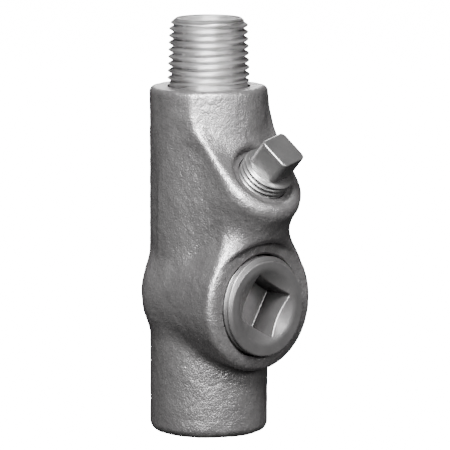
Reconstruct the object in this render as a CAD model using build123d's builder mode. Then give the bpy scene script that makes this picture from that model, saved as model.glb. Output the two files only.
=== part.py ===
"""Conduit sealing fitting for half inch trade size, with a male nipple on top and a female hub below.

Millimetres. +Z runs up the conduit axis, the origin is the centre of the lower hub's mouth, and the
closure port faces -Y. The filling port is above it on the same side, 45 degrees up. Threads are plain
cylinders at their crests, and each tapped hole is a plain bore that clears them.
"""

import os
from math import cos, radians, tan

from build123d import *

# Threads
CONDUIT_THREAD_RADIUS = 10.67
CLOSURE_THREAD_RADIUS = 13.34
FILLER_THREAD_RADIUS = 6.86
THREAD_CLEARANCE = 0.06
CUT_OVERRUN = 1.0

# Casting, outside
HUB_RADIUS = 15.3
BODY_HEIGHT = 90.0
LOWER_RIM_RADIUS = 3.0
UPPER_RIM_RADIUS = 2.0
CHAMBER_DROP = 55.0
CHAMBER_RADIUS = 17.8
CHAMBER_BACK_REACH = 10.0
CHAMBER_BACK_RADIUS = 6.0
CHAMBER_BLEND = 4.0
PORT_FACE_REACH = 20.8
PORT_RIM_RADIUS = 2.0
NECK_RADIUS = 15.0
NOSE_RADIUS = 9.5
NOSE_TOP_REACH = 2.0
NOSE_FOOT_REACH = 0.2
BROW_ABOVE_CHAMBER = 7.2
BROW_REACH = 9.0
NECK_FOOT_SINK = 10.8
SPOUT_TILT = 45.0
SPOUT_SINK = 5.3
SPOUT_FACE_REACH = 29.6
SPOUT_RADIUS = 12.6
SPOUT_RIM_RADIUS = 3.5
SPOUT_BLEND = 4.0
SCOOP_RADIUS = 8.9
SCOOP_DEPTH = 0.8
SCOOP_CLEARANCE = 12.0

# Casting, inside
CONDUIT_WAY_RADIUS = 7.9
LOWER_THREAD_DEPTH = 15.5
UPPER_THREAD_DEPTH = 13.5
HUB_CHAMFER = 0.5
BUSHING_LENGTH = 3.5
CAVITY_RADIUS = 11.2
CAVITY_TOP_HEIGHT = 60.0
CAVITY_SLOPE_LENGTH = 5.0
PORT_BORE_DEPTH = 13.6
PORT_COUNTERSINK = 0.8
SPOUT_COUNTERSINK = 0.6

# Nipple
NIPPLE_STAND_OUT = 17.5
NIPPLE_END_CHAMFER = 1.1
NIPPLE_SEAT_GAP = 0.3
NIPPLE_BAND_LENGTH = 2.6
NIPPLE_BAND_DEPTH = 0.35

# Closure plug
CLOSURE_STAND_OUT = 1.6
CLOSURE_COLLAR_RADIUS = 12.2
CLOSURE_LENGTH = 13.2
CLOSURE_CHAMFER = 1.2
CLOSURE_EDGE_RADIUS = 0.6
DISH_RADIUS = 10.0
DISH_FLOOR_RADIUS = 4.0
DISH_SLOPE = 24.0
SOCKET_WIDTH = 12.2
SOCKET_DEPTH = 9.2
SOCKET_TURN = -31.0
SOCKET_CORNER_RADIUS = 0.6

# Filling plug
FILLER_STAND_OUT = 4.7
FILLER_LENGTH = 13.0
FILLER_HEAD_WIDTH = 9.0
FILLER_HEAD_HEIGHT = 7.2
FILLER_HEAD_TURN = 15.0
FILLER_HEAD_CORNER_RADIUS = 1.4
FILLER_HEAD_EDGE_RADIUS = 0.7
FILLER_CHAMFER = 0.9

chamber_height = BODY_HEIGHT - CHAMBER_DROP
neck_foot_height = chamber_height + CHAMBER_RADIUS - NECK_FOOT_SINK
brow_height = chamber_height + CHAMBER_RADIUS + BROW_ABOVE_CHAMBER
spout_axis_height = chamber_height + CHAMBER_RADIUS - SPOUT_SINK
rim_bevel = UPPER_RIM_RADIUS * (1 - cos(radians(45)))
neck_sections = (
    (neck_foot_height, NOSE_FOOT_REACH, 0),
    (brow_height, BROW_REACH, 0),
    (BODY_HEIGHT - UPPER_RIM_RADIUS, NOSE_TOP_REACH, 0),
    (BODY_HEIGHT - rim_bevel, NOSE_TOP_REACH, rim_bevel),
    (BODY_HEIGHT, NOSE_TOP_REACH, UPPER_RIM_RADIUS),
)
spout_direction = Vector(0, -1, 0).rotate(Axis.X, -SPOUT_TILT)
spout_foot = Vector(0, 0, spout_axis_height)
spout_axis = Axis(spout_foot, spout_direction)
port_plane = Plane(origin=(0, -PORT_FACE_REACH, chamber_height), x_dir=(1, 0, 0), z_dir=(0, -1, 0))
spout_plane = Plane(
    origin=spout_foot + spout_direction * SPOUT_FACE_REACH, x_dir=(1, 0, 0), z_dir=spout_direction
)
scoop_floor_plane = spout_plane.offset(-SCOOP_DEPTH)
conduit_bore_radius = CONDUIT_THREAD_RADIUS + THREAD_CLEARANCE
closure_bore_radius = CLOSURE_THREAD_RADIUS + THREAD_CLEARANCE
filler_bore_radius = FILLER_THREAD_RADIUS + THREAD_CLEARANCE
cavity_floor = LOWER_THREAD_DEPTH + BUSHING_LENGTH
upper_bore_floor = BODY_HEIGHT - UPPER_THREAD_DEPTH

# Neck: a leaning nose in front of the hub circle, widest at the brow over the filling port
with BuildPart() as neck:
    for height, reach, inset in neck_sections:
        with BuildSketch(Plane.XY.offset(height)):
            Circle(NECK_RADIUS - inset)
            with Locations((0, NOSE_RADIUS - NECK_RADIUS - reach)):
                Circle(NOSE_RADIUS - inset)
            make_hull()
    loft(ruled=True)

# Filling spout
with BuildPart() as spout:
    with BuildSketch(spout_plane):
        Circle(SPOUT_RADIUS)
    extrude(amount=-SPOUT_FACE_REACH)
    fillet(spout.edges().sort_by(spout_axis)[-1], SPOUT_RIM_RADIUS)

# Casting: chamber drum blended into the hub, with the neck and the spout, then the ways through it
with BuildPart() as casting:
    with BuildSketch(port_plane):
        Circle(CHAMBER_RADIUS)
    extrude(amount=-(PORT_FACE_REACH + CHAMBER_BACK_REACH))
    fillet(casting.edges().sort_by(Axis.Y)[0], PORT_RIM_RADIUS)
    fillet(casting.edges().sort_by(Axis.Y)[-1], CHAMBER_BACK_RADIUS)
    with BuildSketch():
        Circle(HUB_RADIUS)
    extrude(amount=BODY_HEIGHT)
    fillet(casting.edges().filter_by(GeomType.BSPLINE), CHAMBER_BLEND)
    fillet(casting.edges().sort_by(Axis.Z)[0], LOWER_RIM_RADIUS)
    fillet(casting.edges().sort_by(Axis.Z)[-1], UPPER_RIM_RADIUS)
    add(neck)
    add(spout)
    fillet(casting.edges().filter_by(GeomType.ELLIPSE), SPOUT_BLEND)
    # Way for the conductors: tapped hub, bushing, chamber that narrows to the top, tapped seat
    with BuildSketch(Plane.XZ):
        with BuildLine():
            Polyline(
                (0, -CUT_OVERRUN),
                (conduit_bore_radius + HUB_CHAMFER, -CUT_OVERRUN),
                (conduit_bore_radius + HUB_CHAMFER, 0),
                (conduit_bore_radius, HUB_CHAMFER),
                (conduit_bore_radius, LOWER_THREAD_DEPTH),
                (CONDUIT_WAY_RADIUS, LOWER_THREAD_DEPTH),
                (CONDUIT_WAY_RADIUS, cavity_floor),
                (CAVITY_RADIUS, cavity_floor + CAVITY_SLOPE_LENGTH),
                (CAVITY_RADIUS, CAVITY_TOP_HEIGHT),
                (CONDUIT_WAY_RADIUS, CAVITY_TOP_HEIGHT + CAVITY_SLOPE_LENGTH),
                (CONDUIT_WAY_RADIUS, upper_bore_floor),
                (conduit_bore_radius, upper_bore_floor),
                (conduit_bore_radius, BODY_HEIGHT + CUT_OVERRUN),
                (0, BODY_HEIGHT + CUT_OVERRUN),
                close=True,
            )
        make_face()
    revolve(axis=Axis.Z, mode=Mode.SUBTRACT)
    # Closure port
    with BuildSketch(port_plane):
        Circle(closure_bore_radius)
    extrude(amount=-PORT_BORE_DEPTH, mode=Mode.SUBTRACT)
    with BuildSketch(port_plane):
        Circle(closure_bore_radius + PORT_COUNTERSINK)
    extrude(amount=-PORT_COUNTERSINK, taper=45, mode=Mode.SUBTRACT)
    # Filling port, in a scoop that clears its plug
    with BuildSketch(scoop_floor_plane):
        Circle(SCOOP_RADIUS)
    extrude(amount=SCOOP_DEPTH + SCOOP_CLEARANCE, mode=Mode.SUBTRACT)
    with BuildSketch(scoop_floor_plane):
        Circle(filler_bore_radius)
    extrude(amount=-(SPOUT_FACE_REACH - SCOOP_DEPTH), mode=Mode.SUBTRACT)
    with BuildSketch(scoop_floor_plane):
        Circle(filler_bore_radius + SPOUT_COUNTERSINK)
    extrude(amount=-SPOUT_COUNTERSINK, taper=45, mode=Mode.SUBTRACT)
casting.part.label = "casting"

# Nipple, screwed into the casting's upper seat, with a plain band between its two threads
nipple_foot = upper_bore_floor + NIPPLE_SEAT_GAP
nipple_top = BODY_HEIGHT + NIPPLE_STAND_OUT
with BuildPart() as nipple:
    with BuildSketch(Plane.XY.offset(nipple_foot)):
        Circle(CONDUIT_THREAD_RADIUS)
    extrude(amount=nipple_top - nipple_foot)
    chamfer(nipple.edges(), NIPPLE_END_CHAMFER)
    with BuildSketch(Plane.XY.offset(BODY_HEIGHT)):
        Circle(CONDUIT_THREAD_RADIUS + CUT_OVERRUN)
        Circle(CONDUIT_THREAD_RADIUS - NIPPLE_BAND_DEPTH, mode=Mode.SUBTRACT)
    extrude(amount=NIPPLE_BAND_LENGTH, mode=Mode.SUBTRACT)
    with BuildSketch(Plane.XY.offset(nipple_foot)):
        Circle(CONDUIT_WAY_RADIUS)
    extrude(amount=nipple_top - nipple_foot, mode=Mode.SUBTRACT)
nipple.part.label = "nipple"

# Closure plug: a collar in front of the thread, and a square key socket sunk in its dished face
closure_face_plane = port_plane.offset(CLOSURE_STAND_OUT)
dish_drop = (DISH_RADIUS - DISH_FLOOR_RADIUS) * tan(radians(DISH_SLOPE))
with BuildPart() as closure_plug:
    with BuildSketch(port_plane):
        Circle(CLOSURE_THREAD_RADIUS)
    extrude(amount=CLOSURE_STAND_OUT - CLOSURE_LENGTH)
    chamfer(closure_plug.edges(), CLOSURE_CHAMFER)
    with BuildSketch(port_plane):
        Circle(CLOSURE_COLLAR_RADIUS)
    extrude(amount=CLOSURE_STAND_OUT)
    fillet(closure_plug.edges().sort_by(Axis.Y)[0], CLOSURE_EDGE_RADIUS)
    with BuildSketch(closure_face_plane):
        Circle(DISH_RADIUS)
    extrude(amount=-dish_drop, taper=90 - DISH_SLOPE, mode=Mode.SUBTRACT)
    with BuildSketch(closure_face_plane):
        RectangleRounded(SOCKET_WIDTH, SOCKET_WIDTH, SOCKET_CORNER_RADIUS, rotation=SOCKET_TURN)
    extrude(amount=-SOCKET_DEPTH, mode=Mode.SUBTRACT)
closure_plug.part.label = "closure_plug"

# Filling plug, with a square head
filler_shoulder_plane = scoop_floor_plane.offset(FILLER_STAND_OUT)
with BuildPart() as filler_plug:
    with BuildSketch(filler_shoulder_plane):
        Circle(FILLER_THREAD_RADIUS)
    extrude(amount=-FILLER_LENGTH)
    chamfer(filler_plug.edges().filter_by(GeomType.CIRCLE), FILLER_CHAMFER)
    with BuildSketch(filler_shoulder_plane):
        RectangleRounded(
            FILLER_HEAD_WIDTH, FILLER_HEAD_WIDTH, FILLER_HEAD_CORNER_RADIUS, rotation=FILLER_HEAD_TURN
        )
    extrude(amount=FILLER_HEAD_HEIGHT)
    fillet(filler_plug.faces().sort_by(spout_axis)[-1].edges(), FILLER_HEAD_EDGE_RADIUS)
filler_plug.part.label = "filler_plug"

os.makedirs("parts", exist_ok=True)
export_step(casting.part, "parts/casting.step")
export_step(nipple.part, "parts/nipple.step")
export_step(closure_plug.part, "parts/closure_plug.step")
export_step(filler_plug.part, "parts/filler_plug.step")
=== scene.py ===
"""Looks of a cast conduit sealing fitting: sand-cast lacquered body, plated threads and two plugs.

Lengths are millimetres in the part's own frame, with +Z up the conduit axis and the closure port
facing -Y. Blender works in metres, so a mesh is scaled by MM when it is made.
"""

from math import cos, pi, radians, sin, sqrt

import bmesh
import bpy
import numpy as np
from mathutils import Matrix, Vector, noise


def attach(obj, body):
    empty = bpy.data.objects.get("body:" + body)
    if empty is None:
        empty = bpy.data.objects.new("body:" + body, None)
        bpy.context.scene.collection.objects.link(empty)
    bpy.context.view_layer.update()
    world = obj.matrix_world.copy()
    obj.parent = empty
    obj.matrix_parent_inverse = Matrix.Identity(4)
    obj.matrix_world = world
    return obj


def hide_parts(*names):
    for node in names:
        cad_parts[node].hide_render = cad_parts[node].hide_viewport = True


MM = 0.001

# Camera, from the photograph
CAMERA_AZIMUTH = -42.0
CAMERA_ELEVATION = 8.5
CAMERA_DISTANCE = 1.1
CAMERA_AIM_HEIGHT = 53.6
FRAME_SPAN = 116.4
AXIS_LEFT_OF_CENTRE = 4.2
SENSOR_WIDTH = 36.0
CLIP_START = 0.01

# Stage. Each softbox: name, azimuth, elevation, distance and size in metres, power in watts.
FLOOR_HALF_WIDTH = 3.0
FLOOR_GREY = 0.6
FLOOR_ROUGHNESS = 0.9
FLOOR_GLOW = 16.0
WORLD_GREY = 0.035
SOFTBOXES = (
    ("above", -46, 45, 0.7, (0.25, 0.2), 24.0),
    ("left", -60, 20, 0.6, (0.12, 0.2), 3.4),
    ("right", -28, 18, 0.6, (0.12, 0.2), 2.6),
    ("dish", 10, 22, 0.8, (0.12, 0.15), 2.5),
    ("back", 138, 35, 0.8, (0.3, 0.3), 4.0),
)

# Meshing
GRADIENT_STEP = 0.02
PROJECTION_ROUNDS = 6
LEAST_SLOPE = 0.05
DOUBLE_DISTANCE = 1e-4
FAR = 1e3

# Threads. A thread's crest flat and flank are shares of half its pitch.
CONDUIT_THREAD_RADIUS = 10.67
CONDUIT_PITCH = 25.4 / 14
CLOSURE_PITCH = 25.4 / 14
FILLER_THREAD_RADIUS = 6.86
FILLER_PITCH = 25.4 / 18
THREAD_TAPER = 1 / 28
THREAD_DEPTH_SHARE = 0.64
THREAD_CREST_FLAT = 0.12
THREAD_FLANK = 0.8
THREAD_CLEARANCE = 0.06
ROWS_PER_PITCH = 10
COLUMNS = 144

# Hub
HUB_RADIUS = 15.3
BODY_HEIGHT = 90.0
LOWER_RIM_RADIUS = 2.5
UPPER_RIM_RADIUS = 1.4

# Chamber's drum, with the closure port in front
CHAMBER_HEIGHT = 35.0
CHAMBER_RADIUS = 17.8
CHAMBER_BACK_REACH = 10.0
CHAMBER_BACK_RADIUS = 6.0
CHAMBER_LIFT_FRONT = 0.5
CHAMBER_LIFT_BACK = 2.1
PORT_FACE_REACH = 20.8
PORT_RIM_RADIUS = 2.6
PORT_CLEAR_RADIUS = 16.2
PORT_CLEAR_BLEND = 2.0

# Front of the neck, and the ridge on each side of it. A ridge's azimuth is from -Y.
RIDGE_HEIGHTS = (73.0, 77.3, 80.5, 84.5, 90.0)
RIDGE_REACHES = (15.3, 17.0, 16.6, 16.2, 15.6)
RIDGE_AZIMUTHS = (42.0, 48.0, 54.5, 58.0, 60.0)
RIDGE_BLEND = 0.8
RIDGE_LEAST_BLEND = 0.02
RIDGE_LEAST_HEIGHT = 0.01
RIDGE_FULL_HEIGHT = 0.3
FRONT_HEIGHTS = (62.0, 75.0, 90.0)
FRONT_RADII = (15.3, 15.9, 14.5)

# Filling spout. Its rim's radii are at the lip below, at the sides and where it meets the neck.
SPOUT_AXIS_HEIGHT = 47.5
SPOUT_FACE_REACH = 29.6
SPOUT_BACK_END = -1.0
SPOUT_RADIUS = 12.3
SPOUT_RIM_RADII = (3.8, 2.5, 1.0)
SPOUT_BLEND_HEIGHTS = (62.0, 72.0)
SPOUT_BLENDS = (6.0, 3.5)
SCOOP_RADIUS = 8.3
SCOOP_DEPTH = 0.3
SCOOP_EDGE_BLEND = 1.5

# Join of drum and neck, wide in the valley below the spout
DRUM_BLEND = 1.6
VALLEY_BLEND = 9.5
VALLEY_FRONTS = (-18.0, -10.0)
VALLEY_HEIGHTS = (40.0, 46.0)

# Casting's mesh and sand
CASTING_STEP = 0.5
CASTING_FRONT_MARGIN = 3.0
CASTING_BACK_MARGIN = 0.01
SAND_LUMP = 0.10
SAND_LUMP_SIZE = 3.2
SAND_GRAIN = 0.07
SAND_GRAIN_SIZE = 1.1

# Ways through the casting
CONDUIT_WAY_RADIUS = 7.9
LOWER_THREAD_DEPTH = 15.5
UPPER_THREAD_DEPTH = 13.5
HUB_CHAMFER = 0.5
BUSHING_LENGTH = 3.5
CAVITY_RADIUS = 11.2
CAVITY_TOP_HEIGHT = 60.0
CAVITY_SLOPE_LENGTH = 5.0
PORT_BORE_RADIUS = 13.4
PORT_BORE_DEPTH = 13.6
PORT_COUNTERSINK = 0.5
FILLER_BORE_RADIUS = 6.92
SPOUT_COUNTERSINK = 0.25
OVERCUT = 2.0
SPOUT_OVERCUT = 1.0

# Nipple
NIPPLE_STAND_OUT = 17.5
NIPPLE_SEAT_GAP = 0.3
NIPPLE_BAND_LENGTH = 0.9
NIPPLE_BAND_RADIUS = 10.1
NIPPLE_BAND_SUNK = 1.0
NIPPLE_END_RADIUS = 8.4
NIPPLE_END_SLOPE = 1.15
NIPPLE_MOUTH_FLARE = 0.3

# Closure plug. The two scales keep the steepness of its field near 1.
CLOSURE_STAND_OUT = 1.6
CLOSURE_LENGTH = 13.2
CLOSURE_CREST_RADIUS = 12.9
CLOSURE_FACE_RADIUS = 11.9
CLOSURE_EDGE_RADIUS = 0.9
CLOSURE_COLLAR_LENGTH = 0.9
CLOSURE_SIDE_SCALE = 0.7
CLOSURE_CONE_GAP = 0.2
CLOSURE_CONE_SLOPE = 0.7
CLOSURE_CONE_SCALE = 0.8
CLOSURE_BACK_CHAMFER = 1.4
CLOSURE_STEP = 0.25
CLOSURE_MARGIN = 0.5
DISH_RADIUS = 9.6
DISH_SLOPE = 26.0
DISH_DEPTH_LIMIT = 6.0
DISH_BLEND = 0.4
SOCKET_WIDTH = 12.3
SOCKET_DEPTH = 9.2
SOCKET_TURN = -31.0
SOCKET_CORNER_RADIUS = 0.3
SOCKET_BLEND = 0.15

# Painted shade on the walls of the key socket, darker with depth, from this far below the plug's
# face
SOCKET_SHADE_START = 1.2
SOCKET_SHADE_SHARE = 0.95
SOCKET_SHADE_COLOUR = (0.012, 0.011, 0.011, 1)

# Filling plug
FILLER_STAND_OUT = 4.2
FILLER_LENGTH = 12.9
FILLER_SHOULDER_RADIUS = 5.9
FILLER_SHOULDER_SLOPE = 3.0
FILLER_HEAD_WIDTH = 9.0
FILLER_HEAD_HEIGHT = 7.0
FILLER_HEAD_SUNK = 1.0
FILLER_HEAD_TURN = 15.0
FILLER_HEAD_CORNER_RADIUS = 1.4
FILLER_HEAD_EDGE_RADIUS = 0.45
FILLER_STEP = 0.25

# Noise runs mostly between these two values
NOISE_LOW = 0.3
NOISE_HIGH = 0.7

# Wear on edges and painted shade in creases, by pointiness: the values in a crease, on a flat and
# on an edge, and the flat's brightness
CREASE_POINTINESS = 0.46
FLAT_POINTINESS = 0.5
EDGE_POINTINESS = 0.56
FLAT_SHARE = 0.85

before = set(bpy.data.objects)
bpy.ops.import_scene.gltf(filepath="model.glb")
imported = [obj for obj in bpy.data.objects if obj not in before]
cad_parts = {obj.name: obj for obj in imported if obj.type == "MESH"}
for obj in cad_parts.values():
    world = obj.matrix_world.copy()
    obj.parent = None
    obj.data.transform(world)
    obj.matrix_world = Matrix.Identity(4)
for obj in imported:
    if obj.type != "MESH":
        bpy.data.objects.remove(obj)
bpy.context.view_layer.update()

half_root = sqrt(0.5)
spout_direction = Vector((0, -half_root, half_root))
spout_foot = Vector((0, 0, SPOUT_AXIS_HEIGHT))
upright = Matrix.Identity(4)
port_place = Matrix(
    ((1, 0, 0, 0), (0, 0, -1, -PORT_FACE_REACH), (0, 1, 0, CHAMBER_HEIGHT), (0, 0, 0, 1))
)
spout_turn = Matrix(
    ((1, 0, 0, 0), (0, half_root, -half_root, 0), (0, half_root, half_root, 0), (0, 0, 0, 1))
)
scoop_floor_place = (
    Matrix.Translation(spout_foot + spout_direction * (SPOUT_FACE_REACH - SCOOP_DEPTH)) @ spout_turn
)
shoulder_place = scoop_floor_place @ Matrix.Translation((0, 0, FILLER_STAND_OUT))


# Camera, lights, floor and world


def direction_of(azimuth_deg, elevation_deg):
    """Unit vector from the part towards a camera or lamp."""
    azimuth = radians(azimuth_deg)
    elevation = radians(elevation_deg)
    return Vector((sin(azimuth) * cos(elevation), -cos(azimuth) * cos(elevation), sin(elevation)))


def add_camera():
    """A long lens at the photograph's angle, aimed a little to the right of the conduit axis."""
    azimuth = radians(CAMERA_AZIMUTH)
    back = direction_of(CAMERA_AZIMUTH, CAMERA_ELEVATION)
    right = Vector((cos(azimuth), sin(azimuth), 0))
    aim = Vector((0, 0, CAMERA_AIM_HEIGHT * MM)) + right * AXIS_LEFT_OF_CENTRE * MM
    data = bpy.data.cameras.new("camera")
    data.sensor_width = SENSOR_WIDTH
    data.lens = SENSOR_WIDTH * CAMERA_DISTANCE / (FRAME_SPAN * MM)
    data.clip_start = CLIP_START
    camera = bpy.data.objects.new("camera", data)
    camera.location = aim + back * CAMERA_DISTANCE
    camera.rotation_euler = back.to_track_quat("Z", "Y").to_euler()
    bpy.context.scene.collection.objects.link(camera)
    bpy.context.scene.camera = camera


def add_softbox(name, azimuth_deg, elevation_deg, distance, size, watts):
    back = direction_of(azimuth_deg, elevation_deg)
    data = bpy.data.lights.new(name, "AREA")
    data.shape = "RECTANGLE"
    data.size, data.size_y = size
    data.energy = watts
    lamp = bpy.data.objects.new(name, data)
    lamp.location = Vector((0, 0, CAMERA_AIM_HEIGHT * MM)) + back * distance
    lamp.rotation_euler = back.to_track_quat("Z", "Y").to_euler()
    bpy.context.scene.collection.objects.link(lamp)


def add_floor():
    """A white floor that the camera sees but the part doesn't mirror."""
    half = FLOOR_HALF_WIDTH
    corners = [(-half, -half, 0), (half, -half, 0), (half, half, 0), (-half, half, 0)]
    mesh = bpy.data.meshes.new("floor")
    mesh.from_pydata(corners, [], [(0, 1, 2, 3)])
    floor = bpy.data.objects.new("floor", mesh)
    bpy.context.scene.collection.objects.link(floor)
    material = bpy.data.materials.new("floor")
    material.use_nodes = True
    shader = material.node_tree.nodes["Principled BSDF"]
    shader.inputs["Base Color"].default_value = (FLOOR_GREY, FLOOR_GREY, FLOOR_GREY, 1)
    shader.inputs["Roughness"].default_value = FLOOR_ROUGHNESS
    shader.inputs["Emission Color"].default_value = (1, 1, 1, 1)
    shader.inputs["Emission Strength"].default_value = FLOOR_GLOW
    mesh.materials.append(material)
    floor.visible_glossy = False
    floor.visible_diffuse = False


def add_world():
    world = bpy.data.worlds.new("world")
    world.use_nodes = True
    background = world.node_tree.nodes["Background"]
    background.inputs["Color"].default_value = (WORLD_GREY, WORLD_GREY, WORLD_GREY, 1)
    background.inputs["Strength"].default_value = 1.0
    bpy.context.scene.world = world


# Distance fields, for points as an array with one row each


def smooth_union(a, b, width):
    """The union of two fields, faired where they differ by less than the width."""
    share = np.clip(0.5 + 0.5 * (b - a) / width, 0, 1)
    return b * (1 - share) + a * share - width * share * (1 - share)


def smooth_cut(solid, tool, width):
    """The solid less the tool, with the cut's edge eased."""
    return -smooth_union(-solid, tool, width)


def rounded(side, end, radius):
    """Distance to a body whose side and end walls are this far away, with its rim rounded."""
    side = side + radius
    end = end + radius
    outside = np.hypot(np.maximum(side, 0), np.maximum(end, 0))
    return np.minimum(np.maximum(side, end), 0) + outside - radius


def square(p, width, corner_radius, turn_deg):
    """Distance to an upright prism with a rounded square section."""
    turn = radians(turn_deg)
    x = np.abs(p[:, 0] * cos(turn) + p[:, 1] * sin(turn)) - width / 2
    y = np.abs(p[:, 1] * cos(turn) - p[:, 0] * sin(turn)) - width / 2
    return rounded(x, y, corner_radius)


def hub_field(p):
    """Distance beyond the hub, its leaning front and two ridges, faired by tangent flats."""
    height = p[:, 2]
    front = np.interp(height, FRONT_HEIGHTS, FRONT_RADII)
    widest = np.maximum(front, HUB_RADIUS)
    reach = np.interp(height, RIDGE_HEIGHTS, RIDGE_REACHES)
    reach = np.maximum(reach, widest + RIDGE_LEAST_HEIGHT)
    azimuth = np.radians(np.interp(height, RIDGE_HEIGHTS, RIDGE_AZIMUTHS))
    ahead = azimuth - np.arccos(front / reach)
    behind = azimuth + np.arccos(HUB_RADIUS / reach)
    x, y = np.abs(p[:, 0]), -p[:, 1]
    ahead_flat = x * np.sin(ahead) + y * np.cos(ahead) - front
    behind_flat = x * np.sin(behind) + y * np.cos(behind) - HUB_RADIUS
    fullness = np.clip((reach - widest) / RIDGE_FULL_HEIGHT, RIDGE_LEAST_BLEND, 1)
    ridge = -smooth_union(-ahead_flat, -behind_flat, RIDGE_BLEND * fullness)
    angle = np.arctan2(x, y)
    around = np.hypot(x, y) - np.where(angle < azimuth, front, HUB_RADIUS)
    return np.where((angle > ahead) & (angle < behind), ridge, around)


def spout_frame(p):
    """Across, up the slope and out along the spout's axis."""
    up = (p[:, 1] + p[:, 2] - SPOUT_AXIS_HEIGHT) * half_root
    out = (p[:, 2] - SPOUT_AXIS_HEIGHT - p[:, 1]) * half_root
    return p[:, 0], up, out


def spout_field(p):
    """The filling spout: an arch-shaped boss whose straight sides rise along the hub."""
    across, up, out = spout_frame(p)
    side = np.hypot(across, np.minimum(up, 0)) - SPOUT_RADIUS
    rim = np.interp(up, (-SPOUT_RADIUS, 0, SPOUT_RADIUS), SPOUT_RIM_RADII)
    return np.maximum(rounded(side, out - SPOUT_FACE_REACH, rim), p[:, 1] - SPOUT_BACK_END)


def neck_field(p):
    """The hub from rim to rim, with the spout blended into it."""
    blend = np.interp(p[:, 2], SPOUT_BLEND_HEIGHTS, SPOUT_BLENDS)
    side = smooth_union(hub_field(p), spout_field(p), blend)
    end = np.abs(p[:, 2] - BODY_HEIGHT / 2) - BODY_HEIGHT / 2
    rim = np.where(p[:, 2] > BODY_HEIGHT / 2, UPPER_RIM_RADIUS, LOWER_RIM_RADIUS)
    return rounded(side, end, rim)


def drum_field(p):
    """The sealing chamber's drum, lying along y and lifted towards the back."""
    ends = (-PORT_FACE_REACH, CHAMBER_BACK_REACH)
    lift = np.interp(p[:, 1], ends, (CHAMBER_LIFT_FRONT, CHAMBER_LIFT_BACK))
    side = np.hypot(p[:, 0], p[:, 2] - CHAMBER_HEIGHT - lift) - CHAMBER_RADIUS
    middle = (CHAMBER_BACK_REACH - PORT_FACE_REACH) / 2
    end = np.abs(p[:, 1] - middle) - (CHAMBER_BACK_REACH + PORT_FACE_REACH) / 2
    return rounded(side, end, np.where(p[:, 1] > middle, CHAMBER_BACK_RADIUS, PORT_RIM_RADIUS))


def scoop_field(p):
    """The shallow round recess in the spout's face, as a tool."""
    across, up, out = spout_frame(p)
    side = np.hypot(across, up) - SCOOP_RADIUS
    return np.maximum(side, SPOUT_FACE_REACH - SCOOP_DEPTH - out)


def casting_field(p):
    """The casting without its ways. The join of drum and neck is wide in front, above the drum."""
    valley = np.interp(p[:, 1], VALLEY_FRONTS, (1, 0)) * np.interp(p[:, 2], VALLEY_HEIGHTS, (0, 1))
    blend = DRUM_BLEND + (VALLEY_BLEND - DRUM_BLEND) * valley
    solid = smooth_union(neck_field(p), drum_field(p), blend)
    ahead = np.hypot(p[:, 0], p[:, 2] - CHAMBER_HEIGHT) - PORT_CLEAR_RADIUS
    ahead = np.maximum(ahead, PORT_FACE_REACH + p[:, 1])
    solid = smooth_cut(solid, ahead, PORT_CLEAR_BLEND)
    return smooth_cut(solid, scoop_field(p), SCOOP_EDGE_BLEND)


def thread_shape(phase):
    """Depth below the crest, from 0 to 1, of a thread with a small flat at crest and root."""
    wave = np.abs(((phase + 0.5) % 1) - 0.5) * 2
    return np.clip((wave - THREAD_CREST_FLAT) / THREAD_FLANK, 0, 1)


def closure_field(p):
    """The closure plug in its own frame: its axis is z and its port's face is at 0."""
    reach = np.hypot(p[:, 0], p[:, 1])
    phase = p[:, 2] / CLOSURE_PITCH - np.arctan2(p[:, 1], p[:, 0]) / (2 * pi)
    crest = CLOSURE_CREST_RADIUS - (CLOSURE_STAND_OUT - p[:, 2]) * THREAD_TAPER
    side = reach - crest + thread_shape(phase) * CLOSURE_PITCH * THREAD_DEPTH_SHARE
    side = side * CLOSURE_SIDE_SCALE
    front = p[:, 2] - CLOSURE_STAND_OUT
    collar = rounded(reach - CLOSURE_FACE_RADIUS, front, CLOSURE_EDGE_RADIUS)
    collar = np.where(front > -CLOSURE_COLLAR_LENGTH, collar, FAR)
    cone = reach - CLOSURE_CREST_RADIUS - CLOSURE_CONE_GAP + front * CLOSURE_CONE_SLOPE
    cone = cone * CLOSURE_CONE_SCALE
    back = CLOSURE_STAND_OUT - CLOSURE_LENGTH - p[:, 2]
    back_cone = (reach - CLOSURE_CREST_RADIUS + CLOSURE_BACK_CHAMFER + back) * half_root
    solid = np.maximum.reduce([np.minimum(side, collar), front, cone, back, back_cone])
    slope = radians(DISH_SLOPE)
    dish = (reach - DISH_RADIUS) * sin(slope) - front * cos(slope)
    dish = np.maximum(dish, -front - DISH_DEPTH_LIMIT)
    solid = smooth_cut(solid, dish, DISH_BLEND)
    socket = square(p, SOCKET_WIDTH, SOCKET_CORNER_RADIUS, SOCKET_TURN)
    socket = rounded(socket, -front - SOCKET_DEPTH, SOCKET_CORNER_RADIUS)
    return smooth_cut(solid, socket, SOCKET_BLEND)


def filler_head_field(p):
    """The filling plug's square head in its own frame: its axis is z and its shoulder is at 0."""
    side = square(p, FILLER_HEAD_WIDTH, FILLER_HEAD_CORNER_RADIUS, FILLER_HEAD_TURN)
    middle = (FILLER_HEAD_HEIGHT - FILLER_HEAD_SUNK) / 2
    end = np.abs(p[:, 2] - middle) - (FILLER_HEAD_HEIGHT + FILLER_HEAD_SUNK) / 2
    return rounded(side, end, FILLER_HEAD_EDGE_RADIUS)


# Meshes


def link(name, mesh):
    piece = bpy.data.objects.new(name, mesh)
    bpy.context.scene.collection.objects.link(piece)
    return piece


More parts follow.
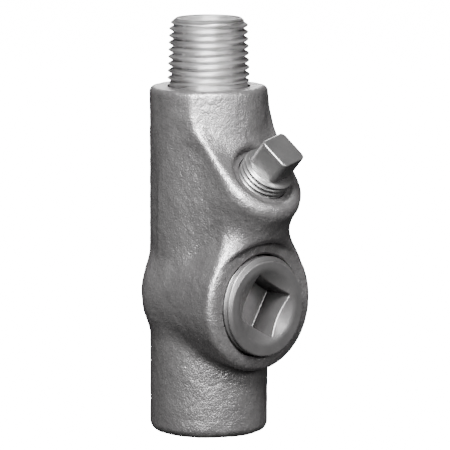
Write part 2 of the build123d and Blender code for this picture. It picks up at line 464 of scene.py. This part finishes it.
def mesh_of(name, points, faces, place=upright):
    """A mesh in metres from points in millimetres, with doubled points joined."""
    mesh = bpy.data.meshes.new(name)
    mesh.from_pydata(points, [], faces)
    build = bmesh.new()
    build.from_mesh(mesh)
    bmesh.ops.remove_doubles(build, verts=build.verts, dist=DOUBLE_DISTANCE)
    bmesh.ops.recalc_face_normals(build, faces=build.faces)
    build.to_mesh(mesh)
    build.free()
    mesh.transform(Matrix.Scale(MM, 4) @ place)
    return mesh


def gradient(field, p):
    """The field's slope along each axis, by central differences."""
    slopes = []
    for axis in range(3):
        offset = np.zeros(3)
        offset[axis] = GRADIENT_STEP
        slopes.append((field(p + offset) - field(p - offset)) / (2 * GRADIENT_STEP))
    return np.stack(slopes, axis=1)


def drawn_onto(field, points):
    """The points moved onto the field's zero surface."""
    for _ in range(PROJECTION_ROUNDS):
        slope = gradient(field, points)
        size = np.maximum((slope**2).sum(axis=1), LEAST_SLOPE)
        points = points - slope * (field(points) / size)[:, None]
    return points


def surface(field, low, high, step):
    """Quads of the field's zero surface: one point in each grid cell that it crosses."""
    axes = [np.arange(a - 2 * step, b + 3 * step, step) for a, b in zip(low, high)]
    grid = np.stack(np.meshgrid(*axes, indexing="ij"), axis=-1)
    value = field(grid.reshape(-1, 3)).reshape(grid.shape[:3])
    inside = value < 0
    cells = tuple(n - 1 for n in inside.shape)
    total = np.zeros(cells + (3,))
    count = np.zeros(cells)
    for axis in range(3):
        a = np.moveaxis(value, axis, 0)
        crossed = (a[:-1] < 0) != (a[1:] < 0)
        share = np.where(crossed, a[:-1] / np.where(crossed, a[:-1] - a[1:], 1), 0)
        place = np.moveaxis(grid, axis, 0)
        spot = place[:-1] + (place[1:] - place[:-1]) * share[..., None]
        crossed = np.moveaxis(crossed, 0, axis)
        spot = np.moveaxis(spot, 0, axis)
        first, second = [i for i in range(3) if i != axis]
        for i in (0, 1):
            for j in (0, 1):
                window = [slice(None)] * 3
                window[first] = slice(i, i + cells[first])
                window[second] = slice(j, j + cells[second])
                window = tuple(window)
                count += crossed[window]
                total += spot[window] * crossed[window][..., None]
    used = count > 0
    index = np.cumsum(used).reshape(cells) - 1
    points = total[used] / count[used][:, None]
    faces = []
    for axis in range(3):
        a = np.moveaxis(inside, axis, 0)
        crossed = np.moveaxis(a[:-1] != a[1:], 0, axis)
        first, second = [i for i in range(3) if i != axis]
        keep = [slice(None)] * 3
        keep[first] = slice(1, -1)
        keep[second] = slice(1, -1)
        spots = np.argwhere(crossed[tuple(keep)])
        spots[:, first] += 1
        spots[:, second] += 1
        corners = []
        for i, j in ((1, 1), (0, 1), (0, 0), (1, 0)):
            corner = spots.copy()
            corner[:, first] -= i
            corner[:, second] -= j
            corners.append(index[tuple(corner.T)])
        faces.append(np.stack(corners, axis=1))
    return points, np.concatenate(faces)


def ring_faces(rows):
    """Quads between neighbouring rings of COLUMNS + 1 points, the last ring joined to the first."""
    row = np.arange(rows)[:, None]
    column = np.arange(COLUMNS)[None, :]
    start = row * (COLUMNS + 1) + column
    above = (row + 1) % rows * (COLUMNS + 1) + column
    return np.stack([start, start + 1, above + 1, above], axis=-1).reshape(-1, 4)


def revolved(name, rows, place=upright):
    """Closed mesh from rings, each a radius and a height, as one number or one value a column."""
    turn = np.linspace(0, 2 * pi, COLUMNS + 1)
    rings = []
    for radius, height in rows:
        radius = np.broadcast_to(radius, turn.shape)
        height = np.broadcast_to(height, turn.shape)
        rings.append(np.stack([radius * np.cos(turn), radius * np.sin(turn), height], axis=1))
    return mesh_of(name, np.concatenate(rings), ring_faces(len(rings)).tolist(), place)


def thread_rows(low, high, pitch, wall):
    """Rings of a right-hand thread; wall gives the radius at a height and a phase."""
    turn = np.linspace(0, 1, COLUMNS + 1)
    steps = round((high - low) / pitch * ROWS_PER_PITCH)
    rows = []
    for step in range(-ROWS_PER_PITCH, steps + 2):
        phase = step / ROWS_PER_PITCH
        height = np.clip(low + pitch * (phase + turn), low, high)
        rows.append((wall(height, np.full(turn.shape, phase)), height))
    return rows


def outside_thread(crest, pitch):
    """Wall of a thread on a rod; crest gives the crest's radius at a height."""
    return lambda height, phase: crest(height) - thread_shape(phase) * pitch * THREAD_DEPTH_SHARE


def boolean(piece, tool, operation):
    """The piece cut by or joined to the tool, which is used up."""
    change = piece.modifiers.new("shape", "BOOLEAN")
    change.operation = operation
    change.solver = "MANIFOLD"
    change.object = tool
    graph = bpy.context.evaluated_depsgraph_get()
    mesh = bpy.data.meshes.new_from_object(piece.evaluated_get(graph))
    piece.modifiers.clear()
    piece.data = mesh
    bpy.data.objects.remove(tool)


def finished(piece, body, node, material, sharp_deg):
    """Shading and material for a piece, which joins its body and stands in for its CAD node."""
    mesh = piece.data
    mesh.shade_smooth()
    mesh.set_sharp_from_angle(angle=radians(sharp_deg))
    mesh.materials.clear()
    mesh.materials.append(material)
    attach(piece, body)
    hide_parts(node)


# Pieces


def sanded(points, normals):
    """The points moved out or in by the lumps and grains of a sand mould."""
    moved = points.copy()
    for size, height in ((SAND_LUMP_SIZE, SAND_LUMP), (SAND_GRAIN_SIZE, SAND_GRAIN)):
        rise = [noise.noise(Vector(p) / size) for p in points]
        moved += normals * (np.array(rise) * height - height / 2)[:, None]
    return moved


def casting_ways():
    """Tools that cut the conduit way with its hub thread, the closure port and the filling port."""
    bore = CONDUIT_THREAD_RADIUS + THREAD_CLEARANCE
    cavity_floor = LOWER_THREAD_DEPTH + BUSHING_LENGTH
    seat = BODY_HEIGHT - UPPER_THREAD_DEPTH

    def hub_wall(height, phase):
        crest = bore - thread_shape(phase) * CONDUIT_PITCH * THREAD_DEPTH_SHARE
        crest = np.maximum(crest, bore - (LOWER_THREAD_DEPTH - height))
        return np.maximum(crest, bore + HUB_CHAMFER - height)

    conduit = [(0, -OVERCUT), (bore + HUB_CHAMFER + OVERCUT, -OVERCUT)]
    conduit += thread_rows(0, LOWER_THREAD_DEPTH, CONDUIT_PITCH, hub_wall)
    conduit += [
        (CONDUIT_WAY_RADIUS, LOWER_THREAD_DEPTH),
        (CONDUIT_WAY_RADIUS, cavity_floor),
        (CAVITY_RADIUS, cavity_floor + CAVITY_SLOPE_LENGTH),
        (CAVITY_RADIUS, CAVITY_TOP_HEIGHT),
        (CONDUIT_WAY_RADIUS, CAVITY_TOP_HEIGHT + CAVITY_SLOPE_LENGTH),
        (CONDUIT_WAY_RADIUS, seat),
        (bore, seat),
        (bore, BODY_HEIGHT + OVERCUT),
        (0, BODY_HEIGHT + OVERCUT),
    ]
    port = [
        (0, -PORT_BORE_DEPTH),
        (PORT_BORE_RADIUS, -PORT_BORE_DEPTH),
        (PORT_BORE_RADIUS, -PORT_COUNTERSINK),
        (PORT_BORE_RADIUS + PORT_COUNTERSINK + OVERCUT, OVERCUT),
        (0, OVERCUT),
    ]
    filling = [
        (0, -SPOUT_FACE_REACH + SCOOP_DEPTH),
        (FILLER_BORE_RADIUS, -SPOUT_FACE_REACH + SCOOP_DEPTH),
        (FILLER_BORE_RADIUS, -SPOUT_COUNTERSINK),
        (FILLER_BORE_RADIUS + SPOUT_COUNTERSINK + SPOUT_OVERCUT, SPOUT_OVERCUT),
        (0, SPOUT_OVERCUT),
    ]
    return (
        revolved("conduit_way", conduit),
        revolved("port_way", port, port_place),
        revolved("filling_way", filling, scoop_floor_place),
    )


def make_casting():
    low = (-CHAMBER_RADIUS, -SPOUT_FACE_REACH - CASTING_FRONT_MARGIN, 0)
    high = (CHAMBER_RADIUS, HUB_RADIUS, BODY_HEIGHT)
    points, faces = surface(casting_field, low, high, CASTING_STEP)
    points = drawn_onto(casting_field, points)
    normals = gradient(casting_field, points)
    normals /= np.linalg.norm(normals, axis=1)[:, None]
    points = sanded(points, normals)
    # The sand's lumps stay inside the CAD box.
    points[:, 0] = np.clip(points[:, 0], -CHAMBER_RADIUS, CHAMBER_RADIUS)
    points[:, 1] = np.minimum(points[:, 1], HUB_RADIUS - CASTING_BACK_MARGIN)
    points[:, 2] = np.maximum(points[:, 2], 0)
    piece = link("cast_body", mesh_of("cast_body", points, faces.tolist()))
    for tool in casting_ways():
        boolean(piece, link("tool", tool), "DIFFERENCE")
    finished(piece, "body", "casting", cast_lacquer(), sharp_deg=40)


def make_nipple():
    foot = BODY_HEIGHT - UPPER_THREAD_DEPTH + NIPPLE_SEAT_GAP
    top = BODY_HEIGHT + NIPPLE_STAND_OUT
    band_top = BODY_HEIGHT + NIPPLE_BAND_LENGTH
    band_foot = BODY_HEIGHT - NIPPLE_BAND_SUNK

    def crest(height):
        return CONDUIT_THREAD_RADIUS - np.maximum(height - band_top, 0) * THREAD_TAPER

    thread = outside_thread(crest, CONDUIT_PITCH)

    def wall(height, phase):
        past_band = np.maximum(np.maximum(band_foot - height, height - band_top), 0)
        least, most = NIPPLE_BAND_RADIUS - past_band, NIPPLE_BAND_RADIUS + past_band
        radius = np.clip(thread(height, phase), least, most)
        radius = np.minimum(radius, NIPPLE_END_RADIUS + (top - height) * NIPPLE_END_SLOPE)
        return np.minimum(radius, NIPPLE_END_RADIUS + (height - foot) * NIPPLE_END_SLOPE)

    rows = [(CONDUIT_WAY_RADIUS, foot)]
    rows += thread_rows(foot, top, CONDUIT_PITCH, wall)
    rows += [
        (CONDUIT_WAY_RADIUS + NIPPLE_MOUTH_FLARE, top),
        (CONDUIT_WAY_RADIUS, top - NIPPLE_MOUTH_FLARE),
    ]
    piece = link("nipple_thread", revolved("nipple_thread", rows))
    finished(piece, "body", "nipple", plated_steel(), sharp_deg=30)


def make_closure_plug():
    reach = CLOSURE_CREST_RADIUS + CLOSURE_MARGIN
    low = (-reach, -reach, CLOSURE_STAND_OUT - CLOSURE_LENGTH)
    high = (reach, reach, CLOSURE_STAND_OUT)
    points, faces = surface(closure_field, low, high, CLOSURE_STEP)
    points = drawn_onto(closure_field, points)
    piece = link("closure_cap", mesh_of("closure_cap", points, faces.tolist(), port_place))
    finished(piece, "closure", "closure_plug", closure_iron(), sharp_deg=60)


def make_filler_plug():
    root = FILLER_THREAD_RADIUS - FILLER_PITCH * THREAD_DEPTH_SHARE - FILLER_LENGTH * THREAD_TAPER

    def crest(height):
        return FILLER_THREAD_RADIUS + height * THREAD_TAPER

    thread = outside_thread(crest, FILLER_PITCH)

    def wall(height, phase):
        shoulder = FILLER_SHOULDER_RADIUS - height * FILLER_SHOULDER_SLOPE
        radius = np.minimum(thread(height, phase), shoulder)
        return np.minimum(radius, root + (height + FILLER_LENGTH))

    rows = [(0, -FILLER_LENGTH)]
    rows += thread_rows(-FILLER_LENGTH, 0, FILLER_PITCH, wall)
    rows += [(0, 0)]
    piece = link("filler_square", revolved("filler_square", rows, shoulder_place))
    reach = FILLER_HEAD_WIDTH
    low = (-reach, -reach, -FILLER_HEAD_SUNK)
    high = (reach, reach, FILLER_HEAD_HEIGHT)
    points, faces = surface(filler_head_field, low, high, FILLER_STEP)
    points = drawn_onto(filler_head_field, points)
    head = link("tool", mesh_of("head", points, faces.tolist(), shoulder_place))
    boolean(piece, head, "UNION")
    finished(piece, "filler", "filler_plug", filler_steel(), sharp_deg=35)


# Materials


def node(tree, kind, inputs=None, **settings):
    """A new node with its inputs linked to sockets or set to values."""
    made = tree.nodes.new(kind)
    for name, value in settings.items():
        setattr(made, name, value)
    for name, value in (inputs or {}).items():
        if isinstance(value, bpy.types.NodeSocket):
            tree.links.new(value, made.inputs[name])
        else:
            made.inputs[name].default_value = value
    return made


def speckle(tree, size_mm, detail=3.0, stretch=None):
    """Noise whose features are this many millimetres across, fixed to the piece."""
    place = node(tree, "ShaderNodeTexCoord").outputs["Object"]
    if stretch:
        scaled = node(tree, "ShaderNodeMapping", {"Vector": place, "Scale": stretch})
        place = scaled.outputs["Vector"]
    inputs = {"Vector": place, "Scale": 1 / (size_mm * MM), "Detail": detail}
    return node(tree, "ShaderNodeTexNoise", inputs).outputs["Fac"]


def ramp(tree, factor, *stops):
    made = node(tree, "ShaderNodeValToRGB", {"Fac": factor})
    elements = made.color_ramp.elements
    while len(elements) < len(stops):
        elements.new(0.5)
    for element, (place, colour) in zip(elements, stops):
        element.position = place
        element.color = (*colour, 1) if isinstance(colour, tuple) else (colour, colour, colour, 1)
    return made.outputs["Color"]


def spread(tree, noise_value, low, high):
    """The noise spread over a range of values."""
    source = {"Value": noise_value, "From Min": NOISE_LOW, "From Max": NOISE_HIGH}
    made = node(tree, "ShaderNodeMapRange", {**source, "To Min": low, "To Max": high})
    return made.outputs["Result"]


def between(tree, noise_value, dark, light):
    """A colour that the noise moves between dark and light."""
    return ramp(tree, noise_value, (NOISE_LOW, dark), (NOISE_HIGH, light))


def mixed(tree, share, a, b, blend="MIX"):
    inputs = {"Fac": share, "Color1": a, "Color2": b}
    return node(tree, "ShaderNodeMixRGB", inputs, blend_type=blend).outputs["Color"]


def bump(tree, height, depth_mm, below=None):
    inputs = {"Height": height, "Distance": depth_mm * MM, "Strength": 1.0}
    if below:
        inputs["Normal"] = below
    return node(tree, "ShaderNodeBump", inputs).outputs["Normal"]


def worn_edges_shaded_creases(tree, colour, crease_shade):
    """The colour kept on rubbed edges and dulled elsewhere, darkened as painted shade down to the
    given share in creases.
    """
    edge = node(tree, "ShaderNodeNewGeometry").outputs["Pointiness"]
    # Edges stay bright as rubbed wear; creases and thread roots darken as painted shade.
    wear_and_shade = ramp(
        tree,
        edge,
        (CREASE_POINTINESS, crease_shade),
        (FLAT_POINTINESS, FLAT_SHARE),
        (EDGE_POINTINESS, 1.0),
    )
    return mixed(tree, 1.0, colour, wear_and_shade, "MULTIPLY")


def material(name, metallic):
    made = bpy.data.materials.new(name)
    made.use_nodes = True
    tree = made.node_tree
    shader = tree.nodes["Principled BSDF"]
    shader.inputs["Metallic"].default_value = metallic
    return made, tree, shader


def cast_lacquer():
    """Aluminium lacquer over a sand-cast skin."""
    made, tree, shader = material("cast_lacquer", metallic=0.8)
    patches = speckle(tree, size_mm=9.0)
    grain = speckle(tree, size_mm=0.45)
    lumps = speckle(tree, size_mm=1.3)
    colour = between(tree, patches, (0.22, 0.212, 0.215), (0.28, 0.273, 0.274))
    colour = mixed(tree, 0.5, colour, between(tree, grain, 0.75, 1.0), "MULTIPLY")
    tree.links.new(worn_edges_shaded_creases(tree, colour, crease_shade=0.55), shader.inputs["Base Color"])
    tree.links.new(spread(tree, grain, low=0.3, high=0.42), shader.inputs["Roughness"])
    normal = bump(tree, lumps, depth_mm=0.16)
    tree.links.new(bump(tree, grain, depth_mm=0.15, below=normal), shader.inputs["Normal"])
    return made


def plated_steel():
    """Turned steel with a dull zinc plating, ringed by the tool's marks."""
    made, tree, shader = material("plated_steel", metallic=0.97)
    rings = speckle(tree, size_mm=1.0, detail=2.0, stretch=(0.15, 0.15, 4))
    stains = speckle(tree, size_mm=4.0)
    colour = between(tree, stains, (0.70, 0.69, 0.69), (0.84, 0.835, 0.84))
    marks = ramp(tree, rings, (0.35, 0.5), (0.65, 1.0))
    colour = mixed(tree, 0.55, colour, marks, "MULTIPLY")
    tree.links.new(worn_edges_shaded_creases(tree, colour, crease_shade=0.78), shader.inputs["Base Color"])
    tree.links.new(spread(tree, rings, low=0.27, high=0.44), shader.inputs["Roughness"])
    tree.links.new(bump(tree, rings, depth_mm=0.03), shader.inputs["Normal"])
    return made


def painted_socket_shade(tree):
    """Share of painted shade on the closure plug: on the walls of its key socket, more with depth.
    """
    place = node(tree, "ShaderNodeTexCoord").outputs["Object"]
    along = node(tree, "ShaderNodeSeparateXYZ", {"Vector": place}).outputs["Y"]
    face = -(PORT_FACE_REACH + CLOSURE_STAND_OUT) * MM
    start = face + SOCKET_SHADE_START * MM
    bottom = face + SOCKET_DEPTH * MM
    depth_inputs = {"Value": along, "From Min": start, "From Max": bottom, "To Max": SOCKET_SHADE_SHARE}
    depth = node(tree, "ShaderNodeMapRange", depth_inputs).outputs["Result"]
    normal = node(tree, "ShaderNodeTexCoord").outputs["Normal"]
    facing = node(tree, "ShaderNodeSeparateXYZ", {"Vector": normal}).outputs["Y"]
    facing = node(tree, "ShaderNodeMath", {0: facing}, operation="ABSOLUTE").outputs[0]
    wall = node(tree, "ShaderNodeMath", {0: 1.0, 1: facing}, operation="SUBTRACT").outputs[0]
    return node(tree, "ShaderNodeMath", {0: depth, 1: wall}, operation="MULTIPLY").outputs[0]


def closure_iron():
    """Plated, smooth cast iron, with shade painted dark onto the walls of its key socket."""
    made, tree, shader = material("closure_iron", metallic=0.8)
    cloud = speckle(tree, size_mm=5.0)
    grain = speckle(tree, size_mm=0.5)
    colour = between(tree, cloud, (0.16, 0.156, 0.157), (0.205, 0.20, 0.201))
    # Painted shade: the key socket's walls darken towards the near-black colour, more with depth.
    colour = mixed(tree, painted_socket_shade(tree), colour, SOCKET_SHADE_COLOUR)
    tree.links.new(worn_edges_shaded_creases(tree, colour, crease_shade=0.6), shader.inputs["Base Color"])
    tree.links.new(spread(tree, grain, low=0.32, high=0.42), shader.inputs["Roughness"])
    tree.links.new(bump(tree, grain, depth_mm=0.012), shader.inputs["Normal"])
    return made


def filler_steel():
    """Forged steel with a dark plating."""
    made, tree, shader = material("filler_steel", metallic=0.85)
    cloud = speckle(tree, size_mm=4.0)
    grain = speckle(tree, size_mm=0.4)
    colour = between(tree, cloud, (0.195, 0.193, 0.193), (0.24, 0.237, 0.237))
    tree.links.new(worn_edges_shaded_creases(tree, colour, crease_shade=0.6), shader.inputs["Base Color"])
    tree.links.new(spread(tree, grain, low=0.30, high=0.40), shader.inputs["Roughness"])
    tree.links.new(bump(tree, grain, depth_mm=0.01), shader.inputs["Normal"])
    return made


add_camera()
add_floor()
add_world()
for softbox in SOFTBOXES:
    add_softbox(*softbox)

make_casting()
make_nipple()
make_closure_plug()
make_filler_plug()
